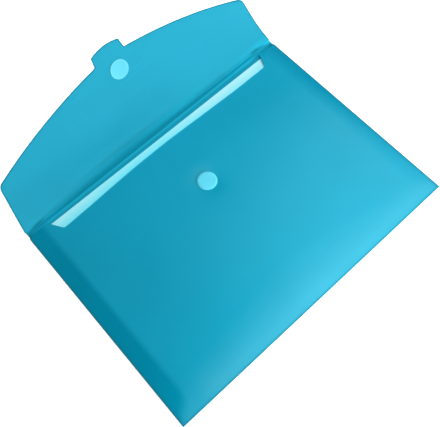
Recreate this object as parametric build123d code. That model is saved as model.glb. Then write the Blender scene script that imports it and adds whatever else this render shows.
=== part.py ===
# A4 document wallet: one creased sheet of polypropylene folded into a pocket with a flap,
# shut by a round hook-and-loop closure and holding a few loose sheets of paper.
# Millimetres. X runs along the flap crease, Y from the closed bottom to the mouth, Z up.
# The origin is on the underside of the back panel, at the middle of the pocket.
import os
from math import cos, radians, sin

from build123d import *

# loose paper, which sets the size of the pocket
paper_width = 297.0
paper_height = 210.0
paper_thickness = 0.11
paper_count = 8
paper_gap = 0.01
paper_side_room = 1.0
paper_from_bottom = 23.1
paper_below_crease = 3.9

# plastic sheet
sheet = 0.5
fit_gap = 0.05
fold_room = 0.6

# side tabs, folded in from the front panel and welded to the back panel
side_tab_width = 18.0
side_fold_radius = 0.35
side_tab_bottom_gap = 6.0
side_tab_chamfer = 10.0
weld_film = 0.15
weld_width = 6.0
weld_from_edge = 7.0
weld_end_margin = 14.0

# front panel, bulged over its contents
crown_height = 13.3
crown_power = 3.2
mouth_drop = 1.1
side_ramp_share = 0.32
throat_depth = 17.6
throat_shoulder = 22.5
throat_left_slant = 10.5
throat_right_slant = 7.0
throat_corner_radius = 4.0

# spine strip between the two creases, with a relief notch at each end
spine_width = 6.0
spine_angle = 12.0
notch_depth = 0.8

# flap, rising from the spine with a bend near its root
flap_root_angle = 40.0
flap_turn = 26.0
flap_root_straight = 2.0
flap_bend_length = 30.0
flap_base_inset = 0.3
flap_corner_inset = 12.0
flap_corner_reach = 59.3
flap_corner_radius = 10.0
flap_edge_bow = 4.9
tab_base_reach = 97.3
tab_base_width = 35.6
tab_tip_width = 32.8
tab_reach = 110.4
tab_crown = 3.0
tab_corner_radius = 1.2
tab_root_radius = 1.0

# hook-and-loop closure
dot_diameter = 20.0
dot_backing = 0.5
dot_rim = 0.5
adhesive_film = 0.15
adhesive_inset = 0.4
hook_reach = 81.0
hook_off_centre = 2.7
loop_off_centre = 0.7
hook_height = 0.7
hook_side = 0.45
hook_pitch = 1.35
closing_take_up = 1.5
loop_pile = 0.7
pile_edge_radius = 0.35

wallet_width = paper_width + 2 * (paper_side_room + side_tab_width)
pocket_height = paper_from_bottom + paper_height + paper_below_crease
half_sheet = sheet / 2
half_width = wallet_width / 2
bottom = -pocket_height / 2
crease_y = pocket_height / 2
tab_middle_z = sheet + weld_film + half_sheet
rim_z = tab_middle_z + 2 * side_fold_radius
side_fold_outer = side_fold_radius + half_sheet
bottom_fold_radius = (rim_z - half_sheet) / 2
bottom_fold_outer = bottom_fold_radius + half_sheet
panel_start = bottom + bottom_fold_outer
crease_clear = half_sheet + fit_gap
mouth_y = crease_y - crease_clear - fold_room
spine_length = wallet_width - 2 * notch_depth
loop_from_crease = hook_reach - closing_take_up
crown_from_bottom = pocket_height - loop_from_crease


def half_ring(radius, thickness):
    """Half of a ring in the XY plane, open towards +X."""
    ring = Circle(radius + thickness / 2) - Circle(radius - thickness / 2)
    cover = Rectangle(2 * radius + thickness, 4 * radius + thickness, align=(Align.MAX, Align.CENTER))
    return ring & cover


def back_panel():
    length = crease_y - crease_clear - panel_start
    panel = Box(wallet_width, length, sheet, align=(Align.CENTER, Align.MIN, Align.MIN))
    return Pos(0, panel_start, 0) * panel


def bottom_fold():
    middle_z = half_sheet + bottom_fold_radius
    section_plane = Plane((0, panel_start, middle_z), x_dir=(0, 1, 0), z_dir=(1, 0, 0))
    return extrude(section_plane * half_ring(bottom_fold_radius, sheet), half_width, both=True)


def side_tab(side):
    """Tab on the left (side -1) or right (side 1) with the fold that turns it up into the front panel."""
    outer_x = half_width - side_fold_outer
    inner_x = half_width - side_tab_width
    start = panel_start + fit_gap
    length = mouth_y - start
    tab_length = length - side_tab_bottom_gap
    outline = Pos((outer_x + inner_x) / 2, start + side_tab_bottom_gap + tab_length / 2) * Rectangle(
        outer_x - inner_x, tab_length
    )
    inner_corner = outline.vertices().sort_by(Axis.Y)[:2].sort_by(Axis.X)[0]
    outline = chamfer(inner_corner, side_tab_chamfer)
    strip = Pos(0, 0, tab_middle_z - half_sheet) * extrude(outline, sheet)
    fold_plane = Plane((outer_x, start, tab_middle_z + side_fold_radius), x_dir=(-1, 0, 0), z_dir=(0, 1, 0))
    fold = extrude(fold_plane * half_ring(side_fold_radius, sheet), length)
    tab = strip + fold
    return tab if side > 0 else mirror(tab, about=Plane.YZ)


def tab_weld(side):
    length = pocket_height - 2 * weld_end_margin
    middle_x = side * (half_width - weld_from_edge - weld_width / 2)
    film = Box(weld_width, length, weld_film, align=(Align.CENTER, Align.CENTER, Align.MIN))
    return Pos(middle_x, 0, sheet) * film


def crown_z(from_bottom):
    """Height of the front panel's middle line, halfway through its sheet."""
    rise = crown_height - rim_z
    if from_bottom < crown_from_bottom:
        return rim_z + rise * (1 - (1 - from_bottom / crown_from_bottom) ** crown_power)
    mouth_run = pocket_height - throat_depth - crown_from_bottom
    return crown_height - mouth_drop * ((from_bottom - crown_from_bottom) / mouth_run) ** 2


def front_section(from_bottom):
    """Section across the pocket: a ramp up from each side fold and a wide arch between them."""
    y = panel_start + fit_gap + from_bottom
    least_arch = 0.05
    top_z = max(crown_z(from_bottom), rim_z + least_arch)
    ramp_z = rim_z + side_ramp_share * (top_z - rim_z)
    edge_x = half_width - side_fold_outer - fit_gap
    ramp_x = half_width - side_tab_width

    def side_of_sheet(offset):
        left_ramp = Line((-edge_x, y, rim_z + offset), (-ramp_x, y, ramp_z + offset))
        arch_start = (-ramp_x, y, ramp_z + offset)
        arch_end = (ramp_x, y, ramp_z + offset)
        arch = ThreePointArc(arch_start, (0, y, top_z + offset), arch_end)
        right_ramp = Line((ramp_x, y, ramp_z + offset), (edge_x, y, rim_z + offset))
        return [left_ramp, arch, right_ramp]

    ends = [
        Line((side * edge_x, y, rim_z - half_sheet), (side * edge_x, y, rim_z + half_sheet))
        for side in (-1, 1)
    ]
    return make_face(side_of_sheet(-half_sheet) + side_of_sheet(half_sheet) + ends)


def front_panel():
    length = mouth_y - panel_start - fit_gap
    rising = [share * crown_from_bottom for share in (0, 0.07, 0.17, 0.31, 0.5, 0.74, 1)]
    level = [crown_from_bottom + share * (length - crown_from_bottom) for share in (0.5, 1)]
    shell = loft([front_section(station) for station in rising + level])
    lower_y = crease_y - throat_depth
    over_y = crease_y + throat_depth
    shoulder_x = half_width - throat_shoulder
    corners = [
        (-shoulder_x + throat_left_slant, lower_y),
        (shoulder_x - throat_right_slant, lower_y),
        (shoulder_x + throat_right_slant, over_y),
        (-shoulder_x - throat_left_slant, over_y),
    ]
    throat = make_face(Polyline(*corners, close=True))
    low_corners = throat.vertices().sort_by(Axis.Y)[:2]
    throat = fillet(low_corners, throat_corner_radius)
    return shell - extrude(throat, crown_height + sheet)


def dot_adhesive():
    radius = dot_diameter / 2 - adhesive_inset
    return Cylinder(radius, adhesive_film, align=(Align.CENTER, Align.CENTER, Align.MIN))


def loop_place():
    top = crown_z(crown_from_bottom) + half_sheet + fit_gap
    return Pos(loop_off_centre, crease_y - loop_from_crease, top)


def loop_adhesive_pad():
    return loop_place() * dot_adhesive()


def loop_disc():
    base = Cylinder(dot_diameter / 2, dot_backing, align=(Align.CENTER, Align.CENTER, Align.MIN))
    pile = Cylinder(dot_diameter / 2 - dot_rim, loop_pile, align=(Align.CENTER, Align.CENTER, Align.MIN))
    pile = fillet(pile.edges().sort_by(Axis.Z)[-1], pile_edge_radius)
    return loop_place() * Pos(0, 0, adhesive_film) * (base + Pos(0, 0, dot_backing) * pile)


def crease_bead(y, z, length):
    """Creased line of the sheet, a round bead on its own folding axis."""
    return Pos(0, y, z) * Rot(0, 90, 0) * Cylinder(half_sheet, length)


spine_place = Pos(0, crease_y, half_sheet) * Rot(spine_angle, 0, 0)
flap_crease_y = crease_y + spine_width * cos(radians(spine_angle))
flap_crease_z = half_sheet + spine_width * sin(radians(spine_angle))
flap_place = Pos(0, flap_crease_y, flap_crease_z) * Rot(flap_root_angle, 0, 0)


def flap_spine():
    length = spine_width - 2 * crease_clear
    strip = Box(spine_length, length, sheet, align=(Align.CENTER, Align.MIN, Align.CENTER))
    return spine_place * Pos(0, crease_clear, 0) * strip


bend_radius = flap_bend_length / radians(flap_turn)
turn = radians(flap_turn)
bend_end_y = flap_root_straight + bend_radius * sin(turn)
bend_end_z = bend_radius * (1 - cos(turn))
flat_start = flap_root_straight + flap_bend_length
flap_plane = Plane((0, bend_end_y, bend_end_z), x_dir=(1, 0, 0), z_dir=(0, -sin(turn), cos(turn)))


def flap_profile():
    """Side view of the flap: a short straight root, the bend and the flat outer part."""
    end_run = tab_reach - flat_start + tab_crown
    end_y = bend_end_y + end_run * cos(turn)
    end_z = bend_end_z + end_run * sin(turn)
    half_turn = turn / 2

    def face_line(offset):
        radius = bend_radius - offset

        def on_bend(angle):
            return (0, flap_root_straight + radius * sin(angle), bend_radius - radius * cos(angle))

        tip = (0, end_y - offset * sin(turn), end_z + offset * cos(turn))
        root = Line((0, crease_clear, offset), on_bend(0))
        bend = ThreePointArc(on_bend(0), on_bend(half_turn), on_bend(turn))
        return [root, bend, Line(on_bend(turn), tip)]

    lower = face_line(-half_sheet)
    upper = face_line(half_sheet)
    ends = [Line(lower[0] @ 0, upper[0] @ 0), Line(lower[2] @ 1, upper[2] @ 1)]
    return make_face(lower + upper + ends)


def flap_outline():
    """Outline of the flap on the plane of its flat outer part, mirrored about its middle."""
    base_half = half_width - flap_base_inset
    corner_half = half_width - flap_corner_inset
    base_y = -(flap_root_straight * cos(turn) + bend_radius * sin(turn))
    corner = (corner_half, flap_corner_reach - flat_start)
    tab_root = (tab_base_width / 2, tab_base_reach - flat_start)
    tab_tip = (tab_tip_width / 2, tab_reach - tab_crown - flat_start)
    edge_middle = (
        (corner[0] + tab_root[0]) / 2,
        (corner[1] + tab_root[1]) / 2 + flap_edge_bow,
    )
    right = [
        Line((base_half, base_y), corner),
        ThreePointArc(corner, edge_middle, tab_root),
        Line(tab_root, tab_tip),
    ]
    left = [mirror(edge, about=Plane.YZ) for edge in right]
    tip = ThreePointArc(tab_tip, (0, tab_reach - flat_start), (-tab_tip[0], tab_tip[1]))
    base = Line((base_half, base_y), (-base_half, base_y))
    outline = make_face(right + left + [tip, base])
    rounded = [(corner, flap_corner_radius), (tab_root, tab_root_radius), (tab_tip, tab_corner_radius)]
    for (x, y), radius in rounded:
        pair = [v for v in outline.vertices() if (abs(v.X) - x) ** 2 + (v.Y - y) ** 2 < fit_gap**2]
        outline = fillet(pair, radius)
    return outline


def flap_panel():
    sheet_form = extrude(flap_profile(), half_width, both=True)
    cut = extrude(flap_plane * flap_outline(), bend_radius, both=True)
    return flap_place * (sheet_form & cut)


hook_place = flap_place * flap_plane.location * Pos(hook_off_centre, hook_reach - flat_start, half_sheet)


def hook_adhesive_pad():
    return hook_place * dot_adhesive()


def hook_disc():
    """Round backing with a field of short square hook stems."""
    base = Cylinder(dot_diameter / 2, dot_backing, align=(Align.CENTER, Align.CENTER, Align.MIN))
    field_radius = dot_diameter / 2 - dot_rim - hook_side
    rows = int(field_radius / hook_pitch)
    steps = range(-rows, rows + 1)
    spots = [(i * hook_pitch, j * hook_pitch) for i in steps for j in steps]
    spots = [spot for spot in spots if spot[0] ** 2 + spot[1] ** 2 < field_radius**2]
    stem = Box(hook_side, hook_side, hook_height, align=(Align.CENTER, Align.CENTER, Align.MIN))
    stems = [Pos(x, y, dot_backing) * stem for x, y in spots]
    return hook_place * Pos(0, 0, adhesive_film) * base.fuse(*stems)


def document_sheets():
    pitch = paper_thickness + paper_gap
    page = Box(paper_width, paper_height, paper_thickness, align=(Align.CENTER, Align.MIN, Align.MIN))
    start_y = bottom + paper_from_bottom
    heights = [sheet + paper_gap + i * pitch for i in range(paper_count)]
    return Compound([Pos(0, start_y, z) * page for z in heights])


nodes = {
    "back_panel": back_panel(),
    "bottom_fold": bottom_fold(),
    "front_panel": front_panel(),
    "left_side_tab": side_tab(-1),
    "right_side_tab": side_tab(1),
    "left_tab_weld": tab_weld(-1),
    "right_tab_weld": tab_weld(1),
    "loop_adhesive_pad": loop_adhesive_pad(),
    "loop_disc": loop_disc(),
    "back_crease": crease_bead(crease_y, half_sheet, spine_length),
    "flap_spine": flap_spine(),
    "flap_crease": crease_bead(flap_crease_y, flap_crease_z, spine_length),
    "flap_panel": flap_panel(),
    "hook_adhesive_pad": hook_adhesive_pad(),
    "hook_disc": hook_disc(),
    "document_sheets": document_sheets(),
}

os.makedirs("parts", exist_ok=True)
for name, shape in nodes.items():
    export_step(shape, f"parts/{name}.step")
    size = shape.bounding_box().size
    print(f"{name}: {size.X:.2f} x {size.Y:.2f} x {size.Z:.2f}")
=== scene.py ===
import math
from functools import partial

import bmesh
import bpy
import numpy as np
from mathutils import Matrix, Vector


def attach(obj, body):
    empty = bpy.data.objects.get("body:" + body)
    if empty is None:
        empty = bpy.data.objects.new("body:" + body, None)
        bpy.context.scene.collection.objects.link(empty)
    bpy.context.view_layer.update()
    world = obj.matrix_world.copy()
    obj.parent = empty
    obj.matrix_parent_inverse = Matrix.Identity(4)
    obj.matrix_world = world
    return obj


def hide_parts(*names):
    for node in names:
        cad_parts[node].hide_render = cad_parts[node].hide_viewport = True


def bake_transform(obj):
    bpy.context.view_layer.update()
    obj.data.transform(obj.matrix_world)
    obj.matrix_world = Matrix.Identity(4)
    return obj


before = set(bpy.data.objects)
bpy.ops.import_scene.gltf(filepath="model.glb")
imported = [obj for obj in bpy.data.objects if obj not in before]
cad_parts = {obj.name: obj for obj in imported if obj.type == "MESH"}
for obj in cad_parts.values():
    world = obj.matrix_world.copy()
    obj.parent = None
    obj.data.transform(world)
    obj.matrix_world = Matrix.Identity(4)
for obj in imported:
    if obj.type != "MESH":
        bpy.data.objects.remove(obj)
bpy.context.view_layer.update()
scene = bpy.context.scene
scene.view_settings.view_transform = "Standard"
mm = 0.001
sheetThick = 0.5  # sizes are in mm and degrees unless a note says otherwise
halfSheet = sheetThick / 2


# small helpers for node trees

def addNode(tree, kind, inputs=None, **settings):
    made = tree.nodes.new(kind)
    for key, value in settings.items():
        setattr(made, key, value)
    for key, value in (inputs or {}).items():
        if isinstance(value, bpy.types.NodeSocket):
            tree.links.new(value, made.inputs[key])
        else:
            made.inputs[key].default_value = value
    return made


def outOf(tree, kind, inputs=None, **settings):
    return addNode(tree, kind, inputs, **settings).outputs[0]


def calc(tree, operation, *values):
    return outOf(tree, "ShaderNodeMath", dict(enumerate(values)), operation=operation)


def sums(tree, *operations):
    return [partial(calc, tree, operation) for operation in operations]


def vectorOf(tree, x=0.0, y=0.0, z=0.0):
    return outOf(tree, "ShaderNodeCombineXYZ", {0: x, 1: y, 2: z})


def mixColour(tree, share, first, second, blend="MIX"):
    inputs = {0: share, 6: first, 7: second}
    return addNode(tree, "ShaderNodeMix", inputs, data_type="RGBA", blend_type=blend).outputs[2]


def mapRange(tree, value, low, high, outLow, outHigh, kind="LINEAR"):
    inputs = {0: value, 1: low, 2: high, 3: outLow, 4: outHigh}
    return outOf(tree, "ShaderNodeMapRange", inputs, interpolation_type=kind)


def fadeIn(tree, value, low, high):
    return mapRange(tree, value, low, high, 0.0, 1.0, "SMOOTHSTEP")


def noise(tree, place, scale, detail, rough=0.5):
    inputs = {"Vector": place, "Scale": scale, "Detail": detail, "Roughness": rough}
    return outOf(tree, "ShaderNodeTexNoise", inputs)


def randomValue(tree, kind, low, high, seed):
    # each kind has its own two inputs and its own output
    first, output = {"FLOAT_VECTOR": (0, 0), "FLOAT": (2, 1), "INT": (4, 2)}[kind]
    inputs = {first: low, first + 1: high, "Seed": seed}
    return addNode(tree, "FunctionNodeRandomValue", inputs, data_type=kind).outputs[output]


def rotationOf(tree, angles):
    return outOf(tree, "FunctionNodeEulerToRotation", {0: angles})


def floats(*labels):
    return dict.fromkeys(labels, "Float")


def newGroup(name, kind, inputs, outputs):
    tree = bpy.data.node_groups.new(name, kind)
    for side, sockets in (("INPUT", inputs), ("OUTPUT", outputs)):
        for label, socketKind in sockets.items():
            tree.interface.new_socket(label, in_out=side, socket_type="NodeSocket" + socketKind)
    return tree, tree.nodes.new("NodeGroupInput").outputs, tree.nodes.new("NodeGroupOutput").inputs


def emptyTree(owner):
    owner.use_nodes = True
    owner.node_tree.nodes.clear()
    return owner.node_tree


def finishGroup(name, inputs):
    outputs = {"Colour": "Color", "Roughness": "Float", "Height": "Float"}
    return newGroup(name, "ShaderNodeTree", inputs, outputs)


def shapeTree(name, values):
    # takes and puts out a shape; the types of the values give the kinds of the other inputs
    kinds = {int: "Int", float: "Float", Vector: "Vector", bpy.types.Material: "Material"}
    inputs = {label: kinds[type(value)] for label, value in values.items()}
    return newGroup(name, "GeometryNodeTree", {"Geometry": "Geometry", **inputs}, {"Geometry": "Geometry"})


def lengths(sizes, *labels):
    # tree inputs in metres: "Crown From" comes from sizes["crownFrom"], and so on
    keys = [label[0].lower() + label[1:].replace(" ", "") for label in labels]
    return {label: sizes[key] * mm for label, key in zip(labels, keys)}


def runTree(obj, tree, values):
    modifier = obj.modifiers.new(tree.name, "NODES")
    modifier.node_group = tree
    sockets = {item.name: item.identifier for item in tree.interface.items_tree if item.in_out == "INPUT"}
    for label, value in values.items():
        modifier[sockets[label]] = value


def closeTree(tree, given, out, geometry):
    real = outOf(tree, "GeometryNodeRealizeInstances", {0: geometry})
    dressed = outOf(tree, "GeometryNodeSetMaterial", {"Geometry": real, "Material": given["Material"]})
    tree.links.new(dressed, out["Geometry"])


def flatPlace(tree):
    place = outOf(tree, "GeometryNodeInputPosition")
    split = addNode(tree, "ShaderNodeSeparateXYZ", {0: place}).outputs
    return place, split[0], split[1]


def dotDistance(tree, place, dotSide, dotPlace):
    ends = {0: place, 1: vectorOf(tree, dotSide, dotPlace)}
    return addNode(tree, "ShaderNodeVectorMath", ends, operation="DISTANCE").outputs["Value"]


def setPosition(tree, geometry, **move):
    inputs = {"Geometry": geometry, **{label.title(): value for label, value in move.items()}}
    return outOf(tree, "GeometryNodeSetPosition", inputs)


def onPoints(tree, points, instance, **turn):
    inputs = {"Points": points, "Instance": instance, **{label.title(): value for label, value in turn.items()}}
    return outOf(tree, "GeometryNodeInstanceOnPoints", inputs)


# small helpers for meshes

def meshObject(name, points, faces, masks=None):
    mesh = bpy.data.meshes.new(name)
    mesh.from_pydata([tuple(point) for point in points], [], faces)
    for label, values in (masks or {}).items():
        mesh.attributes.new(label, "FLOAT", "POINT").data.foreach_set("value", np.asarray(values, np.float32))
    work = bmesh.new()
    work.from_mesh(mesh)
    bmesh.ops.remove_doubles(work, verts=work.verts, dist=1e-7)
    work.to_mesh(mesh)
    work.free()
    obj = bpy.data.objects.new(name, mesh)
    scene.collection.objects.link(obj)
    return obj


def gridFaces(rows, columns, closed=False):
    # closed joins the last point of each row to its first
    pairs = [(c, (c + 1) % columns) for c in range(columns if closed else columns - 1)]
    starts = range(0, (rows - 1) * columns, columns)
    return [(i + a, i + b, i + columns + b, i + columns + a) for i in starts for a, b in pairs]


def thicken(obj, thickness):
    solid = obj.modifiers.new("thickness", "SOLIDIFY")
    solid.thickness = thickness * mm
    solid.offset = 0
    solid.use_even_offset = True


def bake(obj, sharp=40):
    # the evaluated shape becomes a plain mesh, smooth apart from its cut edges
    graph = bpy.context.evaluated_depsgraph_get()
    mesh = bpy.data.meshes.new_from_object(obj.evaluated_get(graph))
    obj.modifiers.clear()
    obj.data = mesh
    mesh.name = obj.name
    work = bmesh.new()
    work.from_mesh(mesh)
    bmesh.ops.recalc_face_normals(work, faces=work.faces)
    for face in work.faces:
        face.smooth = True
    for edge in work.edges:
        edge.smooth = len(edge.link_faces) != 2 or edge.calc_face_angle() < math.radians(sharp)
    work.to_mesh(mesh)
    work.free()


def dress(obj, material):
    obj.data.materials.clear()
    obj.data.materials.append(material)


def ramp(values, start, end):
    # 0 at start, 1 at end, and level beyond them
    return np.clip((values - start) / (end - start), 0, 1)


def softSpot(x, y, share, atX, atY, wide, tall):
    return share * np.exp(-(((x - atX) / wide) ** 2) - ((y - atY) / tall) ** 2)


def edgeDistance(points, line):
    # distance of flat points from a line of points, for the rim masks
    points, line = np.asarray(points, float), np.asarray(line, float)
    nearest = np.full(len(points), 1e9)
    for first, second in zip(line[:-1], line[1:]):
        run = second - first
        share = np.clip(((points - first) @ run) / max(run @ run, 1e-12), 0, 1)
        nearest = np.minimum(nearest, np.linalg.norm(points - first - share[:, None] * run, axis=1))
    return nearest


def arcPoints(first, middle, last, count):
    # circle through three flat points, sampled from first to last
    a, b, c = (complex(*point) for point in (first, middle, last))
    share = (c - a) / (b - a)
    centre = a + (b - a) * (share - abs(share) ** 2) / (2j * share.imag)
    turn = np.angle((c - centre) / (a - centre))
    arc = centre + (a - centre) * np.exp(1j * turn * np.arange(count + 1) / count)
    return list(zip(arc.real, arc.imag))


def roundedPath(path, corners):
    # each corner is (point, radius); points nearer than the rounding are dropped
    for corner, radius in corners:
        at = min(range(len(path)), key=lambda i: math.dist(path[i], corner))
        before, spot, after = (Vector(path[i]) for i in (at - 1, at, at + 1))
        inward, outward = (before - spot).normalized(), (after - spot).normalized()
        half = inward.angle(outward) / 2
        reach = radius / math.tan(half)
        centre = spot + (inward + outward).normalized() * radius / math.sin(half)
        first, last = spot + inward * reach, spot + outward * reach
        middle = centre + (spot - centre).normalized() * radius
        bend = arcPoints(first, middle, last, 8)
        kept = [p for p in path[:at] if math.dist(p, spot) > reach * 1.05]
        path = kept + bend + [p for p in path[at + 1:] if math.dist(p, spot) > reach * 1.05]
    return path


def straightPoints(first, last, count):
    return [tuple(Vector(first).lerp(Vector(last), i / count)) for i in range(count + 1)]


# shared finishes; a shade is the noise from and to, then the value from and to

sheetGrain = {
    "cloudShade": (0.25, 0.75, 0.955, 1.035),
    "frostShade": (0.3, 0.7, 0.965, 1.035),
    "roughness": (0.3, 0.7, 0.52, 0.6),
    "frostDepth": 0.5,
    "scuffTurn": (0, 0, 0.62),
    "scuffStretch": (14, 620, 620),
    "scuffLines": (0.66, 0.78, 0.0, 1.0),
    "patchScale": 9.0,
    "patchEdge": (0.5, 0.68),
    "scuffPale": 0.25,
    "scuffRough": 0.12,
    "scuffDepth": -0.6,
    "creaseRough": -0.1,
}


def sheetFinishGroup():
    # frosted sheet: clouding, fine frost, hairline scuffs and darker cut rims; deeper where tabs double it, together
    # with painted shade in folds and by the dot; painted light where the sheet faces the lamps and along creases and
    # cut edges, over a little real whitening
    s = sheetGrain
    colours = dict.fromkeys(("Colour", "Layer And Shade Colour", "Painted Light Colour", "Rim Colour", "Whitening And Light Colour"), "Color")
    values = floats("Deep", "Pale", "Rim", "Crease", "Cloud Scale", "Frost Scale", "Scuff")
    tree, given, out = finishGroup("sheetFinish", {**colours, **values})
    times, timesAdd = sums(tree, "MULTIPLY", "MULTIPLY_ADD")
    place = addNode(tree, "ShaderNodeTexCoord").outputs["Object"]
    cloud = noise(tree, place, given["Cloud Scale"], 3.0, 0.55)
    frost = noise(tree, place, given["Frost Scale"], 2.0, 0.6)
    stretch = {"Vector": place, "Rotation": s["scuffTurn"], "Scale": s["scuffStretch"]}
    lined = outOf(tree, "ShaderNodeMapping", stretch)
    scuff = mapRange(tree, noise(tree, lined, 1.0, 2.0), *s["scuffLines"])
    patch = fadeIn(tree, noise(tree, place, s["patchScale"], 1.0), *s["patchEdge"])
    scuff = times(times(scuff, patch), given["Scuff"])
    shade, grain = mapRange(tree, cloud, *s["cloudShade"]), mapRange(tree, frost, *s["frostShade"])
    level = times(shade, grain)
    grey = outOf(tree, "ShaderNodeCombineColor", {0: level, 1: level, 2: level})
    # deeper where the side tabs double the sheet, and painted shade
    tinted = mixColour(tree, given["Deep"], given["Colour"], given["Layer And Shade Colour"])
    # painted light
    tinted = mixColour(tree, given["Pale"], tinted, given["Painted Light Colour"])
    tinted = mixColour(tree, 1.0, tinted, grey, "MULTIPLY")
    tinted = mixColour(tree, times(scuff, s["scuffPale"]), tinted, given["Whitening And Light Colour"])
    tinted = mixColour(tree, given["Rim"], tinted, given["Rim Colour"])
    # painted light along creases and cut edges, over a little real whitening of the folds
    tinted = mixColour(tree, given["Crease"], tinted, given["Whitening And Light Colour"])
    tree.links.new(tinted, out["Colour"])
    rough = timesAdd(scuff, s["scuffRough"], mapRange(tree, cloud, *s["roughness"]))
    rough = timesAdd(given["Crease"], s["creaseRough"], rough)
    tree.links.new(rough, out["Roughness"])
    height = timesAdd(scuff, s["scuffDepth"], times(frost, s["frostDepth"]))
    tree.links.new(height, out["Height"])
    return tree


speckleGrain = {
    "speck": (0.35, 0.7),
    "broadScale": 35.0,
    "broadShade": (0.35, 0.75, 0.0, 0.12),
    "roughness": (0.3, 0.7, 0.62, 0.85),
}


def fineSpeckleGroup():
    # woven nylon of the closure dots and the fibres of paper share a fine speckle
    s = speckleGrain
    colours = {"Colour": "Color", "Dark Colour": "Color", "Stretch": "Vector"}
    tree, given, out = finishGroup("fineSpeckle", {**colours, **floats("Scale", "Strength", "Fade")})
    place = addNode(tree, "ShaderNodeTexCoord").outputs["Object"]
    stretch = {0: place, 1: given["Stretch"]}
    stretched = outOf(tree, "ShaderNodeVectorMath", stretch, operation="MULTIPLY")
    fine = noise(tree, stretched, given["Scale"], 4.0, 0.65)
    broad = noise(tree, place, s["broadScale"], 2.0)
    # the paper also takes painted shade through this input
    share = calc(tree, "ADD", mapRange(tree, broad, *s["broadShade"]), given["Fade"])
    share = calc(tree, "MULTIPLY_ADD", fadeIn(tree, fine, *s["speck"]), given["Strength"], share)
    tree.links.new(mixColour(tree, share, given["Colour"], given["Dark Colour"]), out["Colour"])
    tree.links.new(mapRange(tree, fine, *s["roughness"]), out["Roughness"])
    tree.links.new(fine, out["Height"])
    return tree


sheetFinish = sheetFinishGroup()
fineSpeckle = fineSpeckleGroup()


def newMaterial(name, group, look, shader, bump):
    # a look's words name the mesh attributes that drive those inputs
    material = bpy.data.materials.new(name)
    tree = emptyTree(material)
    inputs = dict(look)
    for label, value in look.items():
        if isinstance(value, str):
            inputs[label] = addNode(tree, "ShaderNodeAttribute", attribute_name=value).outputs["Fac"]
    finish = addNode(tree, "ShaderNodeGroup", inputs, node_tree=group)
    strength, distance = bump
    height = {"Strength": strength, "Distance": distance, "Height": finish.outputs["Height"]}
    relief = addNode(tree, "ShaderNodeBump", height)
    surface = addNode(tree, "ShaderNodeBsdfPrincipled", {
        "Base Color": finish.outputs["Colour"],
        "Roughness": finish.outputs["Roughness"],
        "Normal": relief.outputs[0],
        **shader,
    })
    addNode(tree, "ShaderNodeOutputMaterial", {"Surface": surface.outputs[0]})
    return material


sheetLook = {
    "Colour": (0.007, 0.306, 0.463, 1),
    "Layer And Shade Colour": (0.0, 0.248, 0.392, 1),
    "Painted Light Colour": (0.048, 0.378, 0.525, 1),
    "Rim Colour": (0.004, 0.17, 0.26, 1),
    "Whitening And Light Colour": (0.014, 0.45, 0.64, 1),
    # the masks carry layering with painted shade, painted light, darker cut rims, and whitening with painted light
    "Deep": "layerAndShadeMask",
    "Pale": "paintedLightMask",
    "Rim": "rimMask",
    "Crease": "whiteningAndLightMask",
    "Cloud Scale": 16.0,
    "Frost Scale": 1900.0,
    "Scuff": 1.0,
}
foldLook = {**sheetLook, "Colour": (0.01, 0.20, 0.29, 1)}
singleLook = {  # one layer lets more light through
    **sheetLook,
    "Colour": (0.0165, 0.277, 0.402, 1),
    # the flap's darker deep colour and paler whitening colour carry its painted shade and painted light
    "Layer And Shade Colour": (0.002, 0.19, 0.285, 1),
    "Whitening And Light Colour": (0.012, 0.53, 0.76, 1),
}
sheetShader = {
    "IOR": 1.49,
    "Specular IOR Level": 0.25,
    "Specular Tint": (0.06, 0.9, 1.0, 1),
    "Transmission Weight": 0.15,
}
sheetBump = (0.55, 0.0002)
sheetPlastic = newMaterial("frostedSheet", sheetFinish, sheetLook, sheetShader, sheetBump)
foldPlastic = newMaterial("frostedFold", sheetFinish, foldLook, sheetShader, sheetBump)
singlePlastic = newMaterial("frostedSingle", sheetFinish, singleLook, sheetShader, sheetBump)

paperLook = {
    # painted light: the pages are tinted cyan as if lit through the sheet, and the dark colour also carries their
    # painted shade
    "Colour": (0.53, 0.955, 1.0, 1),
    "Dark Colour": (0.18, 0.89, 1.0, 1),
    "Scale": 900.0,
    "Stretch": (1.0, 0.35, 1.0),
    "Strength": 0.12,
    "Fade": "paperShadeMask",
}
paperShader = {"IOR": 1.45, "Specular IOR Level": 0.25}
paperStock = newMaterial("paperStock", fineSpeckle, paperLook, paperShader, (0.15, 0.00005))

loopLook = {
    "Colour": (0.10, 0.645, 0.80, 1),
    "Dark Colour": (0.06, 0.51, 0.68, 1),
    "Scale": 1900.0,
    "Stretch": (1.0, 1.0, 1.0),
    "Strength": 0.5,
}
hookLook = {
    **loopLook,
    "Colour": (0.12, 0.575, 0.69, 1),
    "Dark Colour": (0.09, 0.485, 0.60, 1),
    "Strength": 0.35,
}
filmLook = {
    **loopLook,
    "Colour": (0.45, 0.78, 0.86, 1),
    "Dark Colour": (0.36, 0.68, 0.78, 1),
    "Scale": 700.0,
}
hookShader = {"IOR": 1.53, "Transmission Weight": 0.1}
filmShader = {"IOR": 1.47, "Transmission Weight": 0.4}
loopNylon = newMaterial("loopNylon", fineSpeckle, loopLook, {"IOR": 1.53, "Sheen Weight": 0.15}, (0.4, 0.0001))
hookNylon = newMaterial("hookNylon", fineSpeckle, hookLook, hookShader, (0.25, 0.0001))
adhesiveFilm = newMaterial("adhesiveFilm", fineSpeckle, filmLook, filmShader, (0.1, 0.0001))
print("materials made:", len(bpy.data.materials))


# flap: cut flat, then bent along its root by a rule

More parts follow.
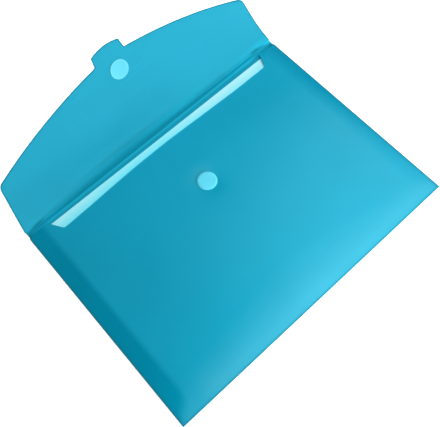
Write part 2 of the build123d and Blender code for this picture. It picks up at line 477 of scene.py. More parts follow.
flapSize = {
    "baseHalf": 167.2,
    "baseStart": 0.8,
    "baseRound": 2.0,
    "baseLean": 0.003,
    "corner": (155.5, 59.3),
    "cornerRadius": 10.0,
    "edgeBow": 4.9,
    "tabRoot": (17.8, 97.3),
    "tabRootRadius": 1.0,
    "tabTip": (16.4, 107.4),
    "tabTipRadius": 1.2,
    "tabReach": 110.4,
    "rootAngle": 40.0,
    "turn": 26.0,
    "rootStraight": 2.0,
    "bendLength": 30.0,
    "crease": (0.0, 124.369, 1.497),
    "ripple": 0.35,
    "rippleScale": 11.0,
    "rippleFrom": (0.2, 1.0),
    "twist": -0.95,  # degrees over twistRun
    "twistRun": 60.0,
    "hookReach": 81.0,
    "hookSide": 2.7,
    "hookLean": 1.0,
    "calmRound": (0.012, 0.045),  # metres
    "columns": 84,
    "rimRows": (0.0, 0.4, 0.9, 1.8),
    "rimRowsFrom": 6.0,
}
# where the sheet is darker or paler, in mm from the root and from the middle: the cut rim is darker, the rest is
# painted light along the root and painted shade across the bend
flapTones = {
    "rim": (1.52, 0.72),
    "stretched": (9.0, 1.5),
    "rootPaintedLight": ((-160, -152, -144, -130, -90, -60, 0, 40, 65, 95, 130, 142, 150, 158, 166),
                 (0.08, 0.2, 0.08, 0.15, 0.5, 0.82, 0.9, 0.8, 0.45, 0.08, 0.15, 0.2, 0.5, 0.3, 0.2)),
    "deep": 0.27,
    "deepPlace": (-40, 22),
    "deepAcross": (137.5, 27.5),
    "deepAlong": (30, 0),
}


def flapHalfOutline():
    s = flapSize
    rise = s["baseRound"]
    base = []
    for v in np.linspace(s["baseStart"], rise, 7):  # soft corner down to the relief notch
        base.append((s["baseHalf"] - rise + math.sqrt(rise**2 - (rise - v) ** 2) - s["baseLean"] * v, v))
    side = straightPoints(base[-1], s["corner"], 56)
    middle = [(a + b) / 2 for a, b in zip(s["corner"], s["tabRoot"])]
    edge = arcPoints(s["corner"], (middle[0], middle[1] + s["edgeBow"]), s["tabRoot"], 72)
    tabSide = straightPoints(s["tabRoot"], s["tabTip"], 9)
    tipArc = arcPoints(s["tabTip"], (0, s["tabReach"]), (-s["tabTip"][0], s["tabTip"][1]), 36)[:19]
    path = base[:-1] + side + edge[1:] + tabSide[1:] + tipArc[1:]
    return roundedPath(path, [(s[label], s[label + "Radius"]) for label in ("corner", "tabRoot", "tabTip")])


def bendFlap(flap):
    s = flapSize
    values = {
        **lengths(s, "Root Straight", "Bend Length", "Ripple", "Hook Reach", "Hook Side"),
        "Root Angle": math.radians(s["rootAngle"]),
        "Turn": math.radians(s["turn"]),
        "Twist": math.radians(s["twist"]) / (s["twistRun"] * mm),
        "Crease": Vector(s["crease"]) * mm,
        "Material": singlePlastic,
    }
    tree, given, out = shapeTree("flapBend", values)
    place, across, along = flatPlace(tree)
    add, less, times, over, timesAdd = sums(tree, "ADD", "SUBTRACT", "MULTIPLY", "DIVIDE", "MULTIPLY_ADD")
    straight, length = given["Root Straight"], given["Bend Length"]
    turn = timesAdd(across, given["Twist"], given["Turn"])  # one half leans back a little more
    afterRoot = less(along, straight)
    share = outOf(tree, "ShaderNodeClamp", {0: over(afterRoot, length)})
    angle = times(share, turn)
    radius = over(length, turn)
    past = calc(tree, "MAXIMUM", less(afterRoot, length), 0.0)
    sine, cosine = calc(tree, "SINE", angle), calc(tree, "COSINE", angle)
    y = add(calc(tree, "MINIMUM", along, straight), times(radius, sine))
    y = timesAdd(past, calc(tree, "COSINE", turn), y)
    z = times(radius, less(1.0, cosine))
    z = timesAdd(past, calc(tree, "SINE", turn), z)
    # slight ripple of the free sheet, fading out at the crease and round the closure dot
    wave = less(noise(tree, place, s["rippleScale"], 1.0), 0.5)
    offCrease = fadeIn(tree, share, *s["rippleFrom"])
    fromDot = dotDistance(tree, place, given["Hook Side"], given["Hook Reach"])
    offDot = fadeIn(tree, fromDot, *s["calmRound"])
    lift = times(wave, given["Ripple"])
    lift = times(lift, times(offCrease, offDot))
    y = less(y, times(lift, sine))
    z = timesAdd(lift, cosine, z)
    bent = {"Vector": vectorOf(tree, across, y, z), "Angle": given["Root Angle"]}
    turned = outOf(tree, "ShaderNodeVectorRotate", bent, rotation_type="X_AXIS")
    moved = outOf(tree, "ShaderNodeVectorMath", {0: turned, 1: given["Crease"]}, operation="ADD")
    closeTree(tree, given, out, setPosition(tree, given["Geometry"], position=moved))
    runTree(flap, tree, values)


def makeFlap():
    s, t = flapSize, flapTones
    outline = flapHalfOutline()
    insets = np.array(s["rimRows"])
    points = []
    for half, v in outline:
        half = max(half, 0.0)
        near = insets * min(1.0, half / s["rimRowsFrom"])
        inner = np.linspace(-(half - near[-1]), half - near[-1], s["columns"] + 1)
        row = np.concatenate([near[:-1] - half, inner, half - near[:-1][::-1]])
        points += [(u, v) for u in row]
    columns = s["columns"] + 1 + 2 * (len(insets) - 1)
    rim = edgeDistance(points, outline)
    rim = np.minimum(rim, edgeDistance([(-u, v) for u, v in points], outline))
    across, along = np.array(points).T
    deepX, deepY = t["deepPlace"]
    # painted shade across the flap's bend
    layerAndShadeMask = ramp(np.abs(along - deepY), *t["deepAlong"]) * ramp(np.abs(across - deepX), *t["deepAcross"])
    rootPaintedLight = np.interp(across, *t["rootPaintedLight"])
    masks = {
        "rimMask": ramp(rim, *t["rim"]),
        "whiteningAndLightMask": ramp(along, *t["stretched"]) * rootPaintedLight,  # painted light along the root, over its shade
        "layerAndShadeMask": t["deep"] * layerAndShadeMask,
    }
    flap = meshObject("flapPanel", [(u * mm, v * mm, 0) for u, v in points], gridFaces(len(outline), columns), masks)
    bendFlap(flap)
    thicken(flap, sheetThick)
    bake(flap)
    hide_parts("flap_panel")
    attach(flap, "flap")


makeFlap()
print("flap bent from its flat cut")


# front panel: cut flat with its throat, then bulged over the papers by a rule

frontSize = {
    "start": -117.575,
    "mouth": 117.6,
    "edgeHalf": 166.85,
    "throatLow": 100.9,
    "throatLeft": (134.5, 144.46),  # half widths at its low edge and at the mouth
    "throatRight": (138.0, 144.64),
    "throatRadius": 4.0,
    "shoulderRadius": 1.0,
    "rim": 1.6,
    "crown": 13.3,
    "power": 3.2,
    "crownFrom": 157.5,
    "mouthRun": 61.9,
    "mouthDrop": 1.1,
    "rampShare": 0.32,
    "rampHalf": 149.5,
    "kink": 0.3,
    "skew": 20.0,
    "skewFrom": (0.2, 1.0),
    "sag": 0.45,
    "sagScale": 9.0,
    "sagFromSide": (0.3, 2.5),
    "sagFromLift": (0.002, 0.008),  # metres
    "dotPlace": 39.0,
    "dotSide": 0.7,
    "calmRound": (0.012, 0.05),  # metres
    "bowAt": (-134, -100, -50, 0, 50, 95, 137),
    "bow": (0.0, -0.5, 0.5, 0.65, -0.6, -1.1, 0.0),
    "rows": ((0, 0.02, 6), (0.02, 0.2, 30), (0.2, 0.985, 66), (0.985, 1.0, 8)),
}
# where the sheet is darker or paler, mostly painted shade and painted light, in mm; a spot is its share, place and
# reach both ways
frontTones = {
    "sideRim": (1.8, 0.9),
    "foldRim": (1.28, 0.48),
    "foldRimShare": 0.4,
    # painted light along the throat's cut edge
    "throatGlow": (0.98, 0.28),
    "throatGlowEnd": (0, 4),
    # side bands: deeper where the side tabs double the sheet, with painted shade growing towards the mouth
    "leftSoft": 3.0,
    "rightReach": (19, 0),
    "rightPower": 0.7,
    "rightBase": 0.35,
    "rightRise": 190,
    "rightMost": 1.2,
    "mitreSlope": 0.9,
    "mitre": (-5, 9),
    # painted shade by the flap's crease at the right end
    "creaseUp": (226, 233),
    "creaseAcross": (140, 148),
    "creaseShare": 0.8,
    "lightAboveDot": (0.5, 0, 10, 12, 9),  # painted light above the dot and painted shade below it, as round a dimple
    "shadeBelowDot": (0.65, 2, -11, 13, 11),
    # painted light over the middle, the right side and the bottom fold
    "lightOverMiddle": (0.25, 15, 68, 76, 66),
    "overRightAcross": (10, 140),
    "overRightUp": (190, 40),
    "overRightMost": 0.5,
    "foldReach": ((-160, -60, 60), (30.0, 45.0, 64.0)),
    "foldPower": 1.5,
    "foldAcross": ((-142.5, -125), (0.5, 1.0)),
    "foldTurn": (7, 0),
    "foldTurnShare": 0.35,
}


def frontTopHalf(lowHalf, topHalf):
    # from the side to the middle: the shoulder, the throat's slant and its low edge
    s = frontSize
    side, top, low = (-s["edgeHalf"], s["mouth"]), (-topHalf, s["mouth"]), (-lowHalf, s["throatLow"])
    middle = (0, s["throatLow"])
    half = straightPoints(side, top, 14)[:-1] + straightPoints(top, low, 14)[:-1] + straightPoints(low, middle, 50)
    return roundedPath(half, [(top, s["shoulderRadius"]), (low, s["throatRadius"])])


def frontTopLine():
    s = frontSize
    line = frontTopHalf(*s["throatLeft"]) + [(-x, y) for x, y in frontTopHalf(*s["throatRight"])[-2::-1]]
    return [(x, y + np.interp(x, s["bowAt"], s["bow"])) for x, y in line]  # the cut edge isn't quite straight


def bulgeFront(front):
    s = frontSize
    values = {
        **lengths(s, "Start", "Rim", "Crown", "Crown From", "Mouth Run", "Mouth Drop", "Ramp Half", "Edge Half"),
        **lengths(s, "Kink", "Skew", "Sag", "Dot Place", "Dot Side"),
        "Power": s["power"],
        "Ramp Share": s["rampShare"],
        "Material": sheetPlastic,
    }
    tree, given, out = shapeTree("frontBulge", values)
    place, across, along = flatPlace(tree)
    add, less, times, over = sums(tree, "ADD", "SUBTRACT", "MULTIPLY", "DIVIDE")
    fromBottom = less(along, given["Start"])
    rise = less(given["Crown"], given["Rim"])
    climb = outOf(tree, "ShaderNodeClamp", {0: over(fromBottom, given["Crown From"])})
    climb = less(1.0, calc(tree, "POWER", less(1.0, climb), given["Power"]))
    beyond = calc(tree, "MAXIMUM", less(fromBottom, given["Crown From"]), 0.0)
    beyond = over(beyond, given["Mouth Run"])
    drop = times(given["Mouth Drop"], calc(tree, "POWER", beyond, 2.0))
    lift = less(times(rise, climb), drop)
    rampLift = times(lift, given["Ramp Share"])
    # the arch leans a little to the left near the mouth
    edgeShare = over(across, given["Ramp Half"])
    lean = less(1.0, times(edgeShare, edgeShare))
    lean = times(calc(tree, "MAXIMUM", lean, 0.0), given["Skew"])
    lean = times(lean, fadeIn(tree, beyond, *s["skewFrom"]))
    leaned = over(add(across, lean), given["Ramp Half"])
    arch = times(less(lift, rampLift), times(leaned, leaned))
    arch = less(lift, arch)
    side = less(given["Edge Half"], calc(tree, "ABSOLUTE", across))
    side = over(side, less(given["Edge Half"], given["Ramp Half"]))
    height = calc(tree, "SMOOTH_MIN", arch, times(rampLift, side), given["Kink"])
    height = calc(tree, "MAXIMUM", height, 0.0)
    # the sheet is never quite even: it sags between the edges, but not under the closure dot
    fromDot = dotDistance(tree, place, given["Dot Side"], given["Dot Place"])
    room = times(fadeIn(tree, fromDot, *s["calmRound"]), fadeIn(tree, side, *s["sagFromSide"]))
    room = times(room, fadeIn(tree, lift, *s["sagFromLift"]))
    sag = times(noise(tree, place, s["sagScale"], 1.5), given["Sag"])
    sag = times(sag, room)
    z = less(add(given["Rim"], height), sag)
    bulged = vectorOf(tree, across, along, z)
    closeTree(tree, given, out, setPosition(tree, given["Geometry"], position=bulged))
    runTree(front, tree, values)


def frontMasks(across, up, rim):
    # up is measured from the bottom fold
    s, t = frontSize, frontTones
    toSide = s["edgeHalf"] - np.abs(across)
    tabWidth = s["edgeHalf"] - s["rampHalf"]
    foldRim = t["foldRimShare"] * ramp(up, *t["foldRim"])
    throatEnd = np.where(across < 0, s["throatLeft"][0], s["throatRight"][0])
    paintedGlow = ramp(rim, *t["throatGlow"]) * ramp(throatEnd - np.abs(across), *t["throatGlowEnd"])
    # side bands: deeper where the side tabs double the sheet, with painted shade growing towards the mouth
    leftBand = ramp(toSide, tabWidth + t["leftSoft"], tabWidth - t["leftSoft"])
    rightRise = np.clip(t["rightBase"] + up / t["rightRise"], 0, t["rightMost"])
    rightBand = ramp(toSide, *t["rightReach"]) ** t["rightPower"] * rightRise
    mitre = ramp(up - toSide * t["mitreSlope"], *t["mitre"])
    # painted shade by the flap's crease at the right end and below the dot
    shadeByCrease = t["creaseShare"] * ramp(up, *t["creaseUp"]) * ramp(across, *t["creaseAcross"])
    besideDot, beyondDot = across - s["dotSide"], up + s["start"] - s["dotPlace"]
    shadeBelowDot = softSpot(besideDot, beyondDot, *t["shadeBelowDot"])
    deep = np.maximum(np.where(across < 0, leftBand, rightBand) * mitre, np.maximum(shadeByCrease, shadeBelowDot))
    # painted light towards the right side, the bottom fold and the middle, and above the dot
    lightOverRight = np.minimum(ramp(up, *t["overRightUp"]), t["overRightMost"])
    lightOverRight = lightOverRight * ramp(across, *t["overRightAcross"])
    lightOverFold = np.clip(1 - up / np.interp(across, *t["foldReach"]), 0, 1) ** t["foldPower"]
    lightOverFold = lightOverFold * np.interp(across, *t["foldAcross"])
    lightOverFold = lightOverFold * (1 - t["foldTurnShare"] * ramp(up, *t["foldTurn"]))
    paintedLight = np.maximum(lightOverFold, lightOverRight) + softSpot(across, up, *t["lightOverMiddle"])
    paintedLight = (paintedLight + softSpot(besideDot, beyondDot, *t["lightAboveDot"])) * (1 - deep)
    return {
        "rimMask": np.maximum(ramp(toSide, *t["sideRim"]), foldRim),
        "whiteningAndLightMask": paintedGlow,  # painted light along the throat's cut edge
        "layerAndShadeMask": deep,
        "paintedLightMask": paintedLight,
    }


def makeFront():
    s = frontSize
    top = frontTopLine()
    runs = [np.linspace(*run) for run in s["rows"]]
    shares = np.concatenate([run[:-1] for run in runs[:-1]] + runs[-1:])
    points = [(x, s["start"] + share * (y - s["start"])) for x, y in top for share in shares]
    across, along = np.array(points).T
    masks = frontMasks(across, along - s["start"], edgeDistance(points, top))
    faces = [face[::-1] for face in gridFaces(len(top), len(shares))]
    front = meshObject("frontPanel", [(x * mm, y * mm, 0) for x, y in points], faces, masks)
    bulgeFront(front)
    thicken(front, sheetThick)
    bake(front)
    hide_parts("front_panel")
    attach(front, "pocket")


makeFront()
print("front panel bulged")


# back panel and the two creases, one sheet at rest

backSize = {
    "start": -117.575,
    "end": 117.7,
    "half": 167.5,
    "edgeRows": (0.8, 2.0),
    # painted light on the sheet near the crease
    "paleFrom": (108, 113),
    "paleShare": 0.2,
}


def makeBack():
    s = backSize
    half, (near, inner) = s["half"], s["edgeRows"]
    xs = np.concatenate([[-half, near - half], np.linspace(inner - half, half - inner, 56), [half - near, half]])
    ys = np.concatenate([np.linspace(s["start"], 104, 36), np.linspace(106, s["end"], 8)])
    points = [(x * mm, y * mm, halfSheet * mm) for y in ys for x in xs]
    # painted light near the crease
    stretched = np.repeat(s["paleShare"] * ramp(ys, *s["paleFrom"]), len(xs))
    masks = {"rimMask": np.tile(np.abs(xs) == half, len(ys)), "whiteningAndLightMask": stretched}
    back = meshObject("backPanel", points, gridFaces(len(ys), len(xs)), masks)
    thicken(back, sheetThick)
    bake(back)
    dress(back, sheetPlastic)
    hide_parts("back_panel")
    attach(back, "pocket")


creaseSize = {
    "backAxis": (118.5, 0.25),
    "flapAxis": (124.369, 1.497),
    "spineAngle": 12.0,
    "flapAngle": 40.0,
    "spineWidth": 6.0,
    "reach": 0.8,
    "softness": 0.6,
    "groove": 0.09,
    "grooveReach": 0.33,
    "columns": 60,
    "spineHalf": ((-0.8, 1.0), (167.4, 166.7)),  # half lengths by distance from the axis
    "flapHalf": ((0.0, 0.8), (166.7, 166.8)),
    "ends": ((-0.97, -0.83, 0.81, 0.9), (1, 0, 0, 1)),  # the ends lie over the side tabs
}
# painted light and painted shade across each crease, over a little real whitening, by distance from its axis, along
# its middle and at its two ends, which are also deeper over the side tabs
spineShades = {
    "middlePale": ((-0.8, 0.0, 1.1, 2.0, 3.0, 3.8), (0.2, 0.4, 1.0, 1.0, 0.2, 0.0)),
    "middleDeep": ((2.0, 3.2, 4.4, 5.2), (0.0, 0.85, 0.85, 0.45)),
    "leftPale": ((0.0, 5.2), (0.0, 0.1)),
    "leftDeep": ((0.0, 5.2), (0.3, 0.0)),
    "rightPale": ((1.0, 3.0, 5.2), (0.0, 0.6, 1.0)),
    "rightDeep": ((0.0, 3.0), (0.9, 0.0)),
}
flapCreaseShades = {
    "middlePale": ((-0.8, 0.0, 0.8), (0.1, 0.5, 0.7)),
    "middleDeep": ((-0.8, 0.8), (0.45, 0.0)),
    "leftPale": ((-0.8, 0.8), (0.1, 0.2)),
    "leftDeep": ((-0.8, 0.8), (0.0, 0.0)),
    "rightPale": ((-0.8, 0.8), (0.9, 1.0)),
    "rightDeep": ((-0.8, 0.8), (0.0, 0.0)),
}


def creaseStrip(name, axis, angles, stations, halfLengths, shades):
    # the sheet's section swept along the crease, thinned where the crease was pressed in
    s = creaseSize
    firstAngle, lastAngle = angles
    rows, columns = len(stations), s["columns"] + 1
    middle, halfThick = np.zeros((rows, 2)), np.zeros((rows, 1))
    for i, station in enumerate(stations):
        share = min(max((station + s["softness"]) / (2 * s["softness"]), 0), 1)
        share = share * share * (3 - 2 * share)
        angle = math.radians(firstAngle + (lastAngle - firstAngle) * share)
        middle[i] = axis[0] + station * math.cos(angle), axis[1] + station * math.sin(angle)
        halfThick[i] = halfSheet - s["groove"] * math.exp(-((station / s["grooveReach"]) ** 2))
    runs = np.gradient(middle, axis=0)
    runs /= np.linalg.norm(runs, axis=1)[:, None]
    normals = np.stack([-runs[:, 1], runs[:, 0]], axis=1)
    spread = np.linspace(-1, 1, columns)
    points = []
    for side in (1, -1):
        for half, (y, z) in zip(halfLengths, middle + side * halfThick * normals):
            points += [(x * half * mm, y * mm, z * mm) for x in spread]
    shade = {label: np.interp(stations, *pair)[:, None] for label, pair in shades.items()}
    masks = {"rimMask": np.tile(np.abs(spread) == 1, 2 * rows)}
    # painted light and painted shade across the strip, changing towards its ends
    for mask, tone in (("whiteningAndLightMask", "Pale"), ("layerAndShadeMask", "Deep")):
        amidst = shade["middle" + tone]
        atEnd = np.where(spread < 0, shade["left" + tone], shade["right" + tone])
        masks[mask] = np.tile((amidst + (atEnd - amidst) * np.interp(spread, *s["ends"])).ravel(), 2)
    offset = rows * columns
    upper = gridFaces(rows, columns)
    faces = upper + [tuple(i + offset for i in face[::-1]) for face in upper]
    for r in range(rows - 1):  # the two cut ends
        for c in (0, columns - 1):
            a, b = r * columns + c, (r + 1) * columns + c
            faces.append((a, b, b + offset, a + offset))
    for c in range(columns - 1):  # the two long edges
        for a in (c, (rows - 1) * columns + c):
            faces.append((a, a + 1, a + 1 + offset, a + offset))
    strip = meshObject(name, points, faces, masks)
    bake(strip, 50)
    dress(strip, sheetPlastic)
    return strip


def makeCreases():
    s = creaseSize
    near = [-s["reach"]] + [round(0.12 * i, 2) for i in range(-5, 6)] + [s["reach"]]
    far = near + [1.3, 2.0, 2.7, 3.4, 4.1, 4.8, s["spineWidth"] - s["reach"]]
    spineHalf = np.interp(far, *s["spineHalf"])
    spine = creaseStrip("spineStrip", s["backAxis"], (0.0, s["spineAngle"]), far, spineHalf, spineShades)
    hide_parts("back_crease", "flap_spine")
    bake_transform(spine)
    flapHalf = np.interp(near, *s["flapHalf"])
    flapAngles = (s["spineAngle"], s["flapAngle"])
    flapStrip = creaseStrip("flapCrease", s["flapAxis"], flapAngles, near, flapHalf, flapCreaseShades)
    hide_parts("flap_crease")
    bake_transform(flapStrip)


makeBack()
makeCreases()
print("back panel and creases made")


# loose pages: one page repeated up the stack, none quite square to the next

pageSize = {
    "width": 297.0,
    "height": 210.0,
    "thick": 0.11,
    "count": 8,
    "pitch": 0.12,
    "low": 0.51,
    "start": -95.4,
    "shift": 0.25,
    "turn": 0.06,
    "stackTurn": -0.42,
    "seed": 11,
    "topRows": (88, 91, 94, 96, 98, 100, 102),
    "endShade": ((-140, -100, -50, 5, 40, 90), (0.15, 0.3, 0.5, 0.5, 0.2, 0.0)),  # painted shade, less at the ends where more light comes in
    "throatShade": ((88, 94, 97, 102), (0.0, 0.45, 0.4, 0.0)),  # and painted shade by the throat's edge
}


def stackPages(page):
    s = pageSize
    values = {
        **lengths(s, "Pitch", "Shift"),
        "Turn": math.radians(s["turn"]),
        "Stack Turn": math.radians(s["stackTurn"]),
        "Count": s["count"],
        "Seed": s["seed"],
        "Middle": Vector((0, s["start"] + s["height"] / 2, s["low"] + s["thick"] / 2)) * mm,
        "Material": paperStock,
    }
    tree, given, out = shapeTree("pageStack", values)
    add, times = sums(tree, "ADD", "MULTIPLY")
    stack = {"Count": given["Count"], "Start Location": given["Middle"], "Offset": vectorOf(tree, z=given["Pitch"])}
    line = outOf(tree, "GeometryNodeMeshLine", stack)
    back, front = times(given["Shift"], -1.0), given["Shift"]
    low, high = vectorOf(tree, back, back), vectorOf(tree, front, front)
    points = setPosition(tree, line, offset=randomValue(tree, "FLOAT_VECTOR", low, high, given["Seed"]))
    swingBack, swingSeed = times(given["Turn"], -1.0), add(given["Seed"], 5.0)
    swing = randomValue(tree, "FLOAT", swingBack, given["Turn"], swingSeed)
    rotation = rotationOf(tree, vectorOf(tree, z=add(swing, given["Stack Turn"])))
    closeTree(tree, given, out, onPoints(tree, points, given["Geometry"], rotation=rotation))
    runTree(page, tree, values)


def makePages():
    s = pageSize
    halfHeight = s["height"] / 2
    xs = np.linspace(-s["width"] / 2, s["width"] / 2, 19)
    ys = np.concatenate([np.linspace(-halfHeight, 84, 12), s["topRows"], [halfHeight]])
    # painted shade on the pages, lighter at the ends and darker by the throat's edge
    paperShade = np.add.outer(np.interp(ys, *s["throatShade"]), np.interp(xs, *s["endShade"])).ravel()
    points = [(x * mm, y * mm, 0) for y in ys for x in xs]
    page = meshObject("documentPages", points, gridFaces(len(ys), len(xs)), {"paperShadeMask": paperShade})
    thicken(page, s["thick"])
    bake(page)
    stackPages(page)
    bake(page)
    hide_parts("document_sheets")
    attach(page, "documents")


makePages()
print("pages stacked")


# side tabs and bottom fold keep their solids; the welds under the tabs are rows of small spots

weldSize = {
    "fromEdge": 157.5,
    "length": 201.0,
    "count": 34,
    "spot": 1.5,
    "stretch": 1.5,
    "rows": 2,
    "rowGap": 3.6,
    "low": 0.5,
    "thick": 0.15,
}


def rowWelds(spot):
    s = weldSize
    values = {
        **lengths(s, "Row Gap", "Length", "From Edge", "Low"),
        "Count": s["count"],
        "Rows": s["rows"],
        "Material": foldPlastic,
    }
    tree, given, out = shapeTree("weldRow", values)
    sizes = {"Size X": given["Row Gap"], "Size Y": given["Length"]}
    counts = {"Vertices X": given["Rows"], "Vertices Y": given["Count"]}
    grid = outOf(tree, "GeometryNodeMeshGrid", {**sizes, **counts})
    sides = addNode(tree, "GeometryNodeJoinGeometry")
    for sign in (1.0, -1.0):
        shift = vectorOf(tree, calc(tree, "MULTIPLY", given["From Edge"], sign), z=given["Low"])
        moved = outOf(tree, "GeometryNodeTransform", {"Geometry": grid, "Translation": shift})
        tree.links.new(moved, sides.inputs[0])
    closeTree(tree, given, out, onPoints(tree, sides.outputs[0], given["Geometry"]))
    runTree(spot, tree, values)


def latheDisc(name, profile, sides):
    turns = [2 * math.pi * i / sides for i in range(sides)]
    points = [(r * math.cos(turn) * mm, r * math.sin(turn) * mm, z * mm) for r, z in profile for turn in turns]
    return meshObject(name, points, gridFaces(len(profile), sides, True))


def makeWelds():
    s = weldSize
    profile = [(0, 0), (s["spot"], 0), (s["spot"], s["thick"]), (0, s["thick"])]
    spot = latheDisc("tabWelds", profile, 10)
    spot.data.transform(Matrix.Diagonal((1, s["stretch"], 1, 1)))
    rowWelds(spot)
    bake(spot)
    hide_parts("left_tab_weld", "right_tab_weld")
    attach(spot, "pocket")


makeWelds()
for node in ("left_side_tab", "right_side_tab", "bottom_fold"):
    dress(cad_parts[node], foldPlastic)
for node in ("loop_adhesive_pad", "hook_adhesive_pad"):
    dress(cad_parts[node], adhesiveFilm)
print("side tabs, folds and welds dressed")


# closure dots: backing discs, with hooks on the flap's and loops on the front's

dotSize = {
    "radius": 10.0,
    "backing": 0.5,
    "lowBevel": 0.08,
    "topBevel": 0.12,
    "sides": 72,
    "film": 0.15,
    "filmGap": 0.05,
    "field": 8.9,  # of the hooks
    "pitch": 1.35,
    "hookHeight": 0.7,
    "hookThread": 0.2,
    "hookSwing": 0.35,  # radians
    "pileField": 9.1,  # of the loops
    "gap": 0.62,
    "pileRise": 0.26,
    "loopHeight": 0.42,
    "loopSpan": 0.62,
    "loopThread": 0.09,
    "loopLean": 0.45,  # radians
    "loopScale": (0.75, 1.05),
    "loopsMost": 6.0e6,  # to the square metre
    "rootDepth": 0.06,
    "seed": 4,
}


def hookPlace():
    s = flapSize
    turn = math.radians(s["turn"])
    radius = s["bendLength"] / turn
    bendEnd = Vector((0, s["rootStraight"] + radius * math.sin(turn), radius * (1 - math.cos(turn))))
    root = Matrix.Translation(Vector(s["crease"]) * mm) @ Matrix.Rotation(math.radians(s["rootAngle"]), 4, "X")
    flat = Matrix.Translation(bendEnd * mm) @ Matrix.Rotation(turn, 4, "X")
    lean = Matrix.Rotation(math.radians(s["hookLean"]), 4, "Y")  # with the flap's twist
    reach = s["hookReach"] - s["rootStraight"] - s["bendLength"]
    return root @ flat @ lean @ Matrix.Translation(Vector((s["hookSide"], reach, halfSheet + dotSize["film"])) * mm)


def loopPlace():
    s = frontSize
    top = s["crown"] + halfSheet + dotSize["filmGap"] + dotSize["film"]
    return Matrix.Translation(Vector((s["dotSide"], s["dotPlace"], top)) * mm)


def spreadHooks(hook):
    s = dotSize
    values = {**lengths(s, "Field", "Pitch"), "Base": s["backing"] * mm, "Seed": s["seed"], "Material": hookNylon}
    tree, given, out = shapeTree("hookField", values)
    add, times = sums(tree, "ADD", "MULTIPLY")
    gaps = times(calc(tree, "FLOOR", calc(tree, "DIVIDE", given["Field"], given["Pitch"])), 2.0)
    count, size = add(gaps, 1.0), times(gaps, given["Pitch"])
    square = {"Size X": size, "Size Y": size, "Vertices X": count, "Vertices Y": count}
    grid = outOf(tree, "GeometryNodeMeshGrid", square)
    place = flatPlace(tree)[0]
    far = addNode(tree, "ShaderNodeVectorMath", {0: place}, operation="LENGTH").outputs["Value"]
    outside = calc(tree, "GREATER_THAN", far, given["Field"])
    kept = outOf(tree, "GeometryNodeDeleteGeometry", {"Geometry": grid, "Selection": outside})
    kept = setPosition(tree, kept, offset=vectorOf(tree, z=given["Base"]))
    swing = randomValue(tree, "FLOAT", -s["hookSwing"], s["hookSwing"], given["Seed"])
    flip = randomValue(tree, "INT", 0, 1, add(given["Seed"], 3.0))
    rotation = rotationOf(tree, vectorOf(tree, z=add(times(flip, math.pi), swing)))
    closeTree(tree, given, out, onPoints(tree, kept, given["Geometry"], rotation=rotation))
    runTree(hook, tree, values)


def spreadLoops(loop):
    s = dotSize
    base = (s["backing"] + s["pileRise"]) * mm
    values = {**lengths(s, "Pile Field", "Gap"), "Base": base, "Seed": s["seed"], "Material": loopNylon}
    tree, given, out = shapeTree("loopField", values)
    circle = {"Vertices": 48, "Radius": given["Pile Field"]}
    disc = outOf(tree, "GeometryNodeMeshCircle", circle, fill_type="NGON")
    spread = {"Mesh": disc, "Distance Min": given["Gap"], "Density Max": s["loopsMost"], "Seed": given["Seed"]}
    spots = outOf(tree, "GeometryNodeDistributePointsOnFaces", spread, distribute_method="POISSON")
    spots = setPosition(tree, spots, offset=vectorOf(tree, z=given["Base"]))
    low, high = (-s["loopLean"], -s["loopLean"], 0.0), (s["loopLean"], s["loopLean"], math.pi)
    rotation = rotationOf(tree, randomValue(tree, "FLOAT_VECTOR", low, high, given["Seed"]))
    size = randomValue(tree, "FLOAT", *s["loopScale"], calc(tree, "ADD", given["Seed"], 7.0))
    loops = onPoints(tree, spots, given["Geometry"], rotation=rotation, scale=size)
    closeTree(tree, given, out, loops)
    runTree(loop, tree, values)


def threadTube(name, line, radius, sides):
    # a short thread along a flat line of (x, z) points, closed at both ends
    line = [Vector((x, 0, z)) for x, z in line]
    side = Vector((0, 1, 0))
    points = []
    for i, spot in enumerate(line):
        run = (line[min(i + 1, len(line) - 1)] - line[max(i - 1, 0)]).normalized()
        across = run.cross(side)
        for k in range(sides):
            turn = 2 * math.pi * k / sides
            points.append((spot + (across * math.cos(turn) + side * math.sin(turn)) * radius) * mm)
    last = (len(line) - 1) * sides
    ends = [tuple(range(sides))[::-1], tuple(last + k for k in range(sides))]
    return meshObject(name, points, gridFaces(len(line), sides, True) + ends)


def dotBacking(name, face, material, place):
    # a bevelled disc; face is its upper side, as (inset from the edge, rise over the backing)
    s = dotSize
    r, b = s["radius"], s["backing"]
    edge = [(0, 0), (r - s["lowBevel"], 0), (r, s["lowBevel"]), (r, b - s["topBevel"]), (r - s["topBevel"], b)]
    backing = latheDisc(name, edge + [(r - inset, b + rise) for inset, rise in face], s["sides"])
    bake(backing)
    dress(backing, material)
    backing.data.transform(place)
    return backing


def makeHookDot():
    s = dotSize
    place = hookPlace()
    backing = dotBacking("hookBacking", [(0.55, 0), (0.7, -0.06), (s["radius"], -0.06)], hookNylon, place)
    tall = s["hookHeight"]
    stem = [(-0.1, -s["rootDepth"]), (-0.1, tall * 0.55), (-0.02, tall - 0.14)]
    crook = [(0.14, tall - 0.08), (0.27, tall - 0.22), (0.28, tall - 0.34)]
    hook = threadTube("hookStems", stem + crook, s["hookThread"] / 2, 5)
    spreadHooks(hook)
    bake(hook)
    hook.data.transform(place)
    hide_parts("hook_disc")
    for piece in (backing, hook):
        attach(piece, "flap")


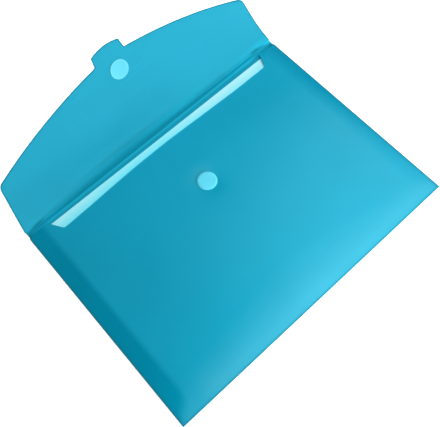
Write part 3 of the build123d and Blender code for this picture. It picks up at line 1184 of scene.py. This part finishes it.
def makeLoopDot():
    s = dotSize
    place = loopPlace()
    face = [(0.5, 0), (0.6, 0.1), (0.9, 0.24), (1.6, 0.3), (s["radius"], 0.3)]
    backing = dotBacking("loopBacking", face, loopNylon, place)
    half, tall = s["loopSpan"] / 2, s["loopHeight"]
    turns = (0, 0.5, 1.05, math.pi / 2, 2.09, 2.64, math.pi)
    line = [(-half * math.cos(a), tall * math.sin(a) - s["rootDepth"]) for a in turns]
    loop = threadTube("loopPile", line, s["loopThread"] / 2, 3)
    spreadLoops(loop)
    bake(loop)
    loop.data.transform(place)
    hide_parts("loop_disc")
    for piece in (backing, loop):
        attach(piece, "pocket")


makeHookDot()
makeLoopDot()
print("closure dots made")


# floor, light and camera, in metres

stageSet = {
    "floorHalf": 4.0,
    "floorLow": -0.0003,
    "floorColour": (0.93, 0.93, 0.93, 1),
    "floorLift": 0.6,
    "world": 0.2,
    "aim": (0.02, 0.0, 0.02),
}
lampSet = {
    "keyLamp": {  # low, before the closed bottom
        "power": 9.2, "place": (0.22, -0.63, 0.17), "size": (0.6, 0.22), "glossy": False},
    "topLamp": {
        "power": 9.7, "place": (0.27, 0.25, 1.1), "size": (0.7, 0.7), "glossy": True},
    "backLamp": {  # faint, for the back of the flap
        "power": 3.0, "place": (0.05, 0.85, 0.2), "size": (0.7, 0.25), "glossy": False},
}
cameraSet = {
    "location": (-0.126813, -0.165040, 0.544077),
    "right": (0.743681, -0.666354, -0.053948),
    "up": (0.637967, 0.683241, 0.355219),
    "lens": 47.93,
    "sensor": 36,
    "nearest": 0.01,
}


def seenDirectly(tree):
    path = addNode(tree, "ShaderNodeLightPath").outputs
    seen = calc(tree, "MAXIMUM", path["Is Camera Ray"], path["Is Glossy Ray"])
    return calc(tree, "MAXIMUM", seen, path["Is Transmission Ray"])


def makeFloor():
    s = stageSet
    half = s["floorHalf"]
    corners = [(-half, -half, 0), (half, -half, 0), (half, half, 0), (-half, half, 0)]
    floor = meshObject("floor", corners, [(0, 1, 2, 3)])
    floor.location.z = s["floorLow"]
    material = bpy.data.materials.new("paleFloor")
    tree = emptyTree(material)
    matte = addNode(tree, "ShaderNodeBsdfDiffuse", {"Color": s["floorColour"]})
    strength = calc(tree, "MULTIPLY", seenDirectly(tree), s["floorLift"])
    lift = addNode(tree, "ShaderNodeEmission", {"Strength": strength})
    both = addNode(tree, "ShaderNodeAddShader", {0: matte.outputs[0], 1: lift.outputs[0]})
    addNode(tree, "ShaderNodeOutputMaterial", {"Surface": both.outputs[0]})
    dress(floor, material)


def makeWorld():
    world = bpy.data.worlds.new("paleWorld")
    tree = emptyTree(world)
    white = (1, 1, 1, 1)
    lit = addNode(tree, "ShaderNodeBackground", {"Color": white, "Strength": stageSet["world"]})
    seen = addNode(tree, "ShaderNodeBackground", {"Color": white, "Strength": 1.0})
    both = addNode(tree, "ShaderNodeMixShader", {0: seenDirectly(tree), 1: lit.outputs[0], 2: seen.outputs[0]})
    addNode(tree, "ShaderNodeOutputWorld", {"Surface": both.outputs[0]})
    scene.world = world


def makeLamp(name, power, place, size, glossy):
    data = bpy.data.lights.new(name, "AREA")
    data.energy = power
    data.shape = "RECTANGLE"
    data.size, data.size_y = size
    lamp = bpy.data.objects.new(name, data)
    lamp.location = place
    lamp.rotation_euler = (Vector(stageSet["aim"]) - lamp.location).to_track_quat("-Z", "Y").to_euler()
    lamp.visible_camera = False
    lamp.visible_glossy = glossy
    scene.collection.objects.link(lamp)


def makeCamera():
    s = cameraSet
    data = bpy.data.cameras.new("viewCamera")
    data.lens = s["lens"]
    data.sensor_width = s["sensor"]
    data.clip_start = s["nearest"]
    camera = bpy.data.objects.new("viewCamera", data)
    right, up = Vector(s["right"]).normalized(), Vector(s["up"])
    back = right.cross(up).normalized()
    turn = Matrix((right, back.cross(right), back)).transposed().to_4x4()
    camera.matrix_world = Matrix.Translation(s["location"]) @ turn
    scene.collection.objects.link(camera)
    scene.camera = camera


makeFloor()
makeWorld()
for lampName, lamp in lampSet.items():
    makeLamp(lampName, **lamp)
makeCamera()
print("stage, lamps and camera set")
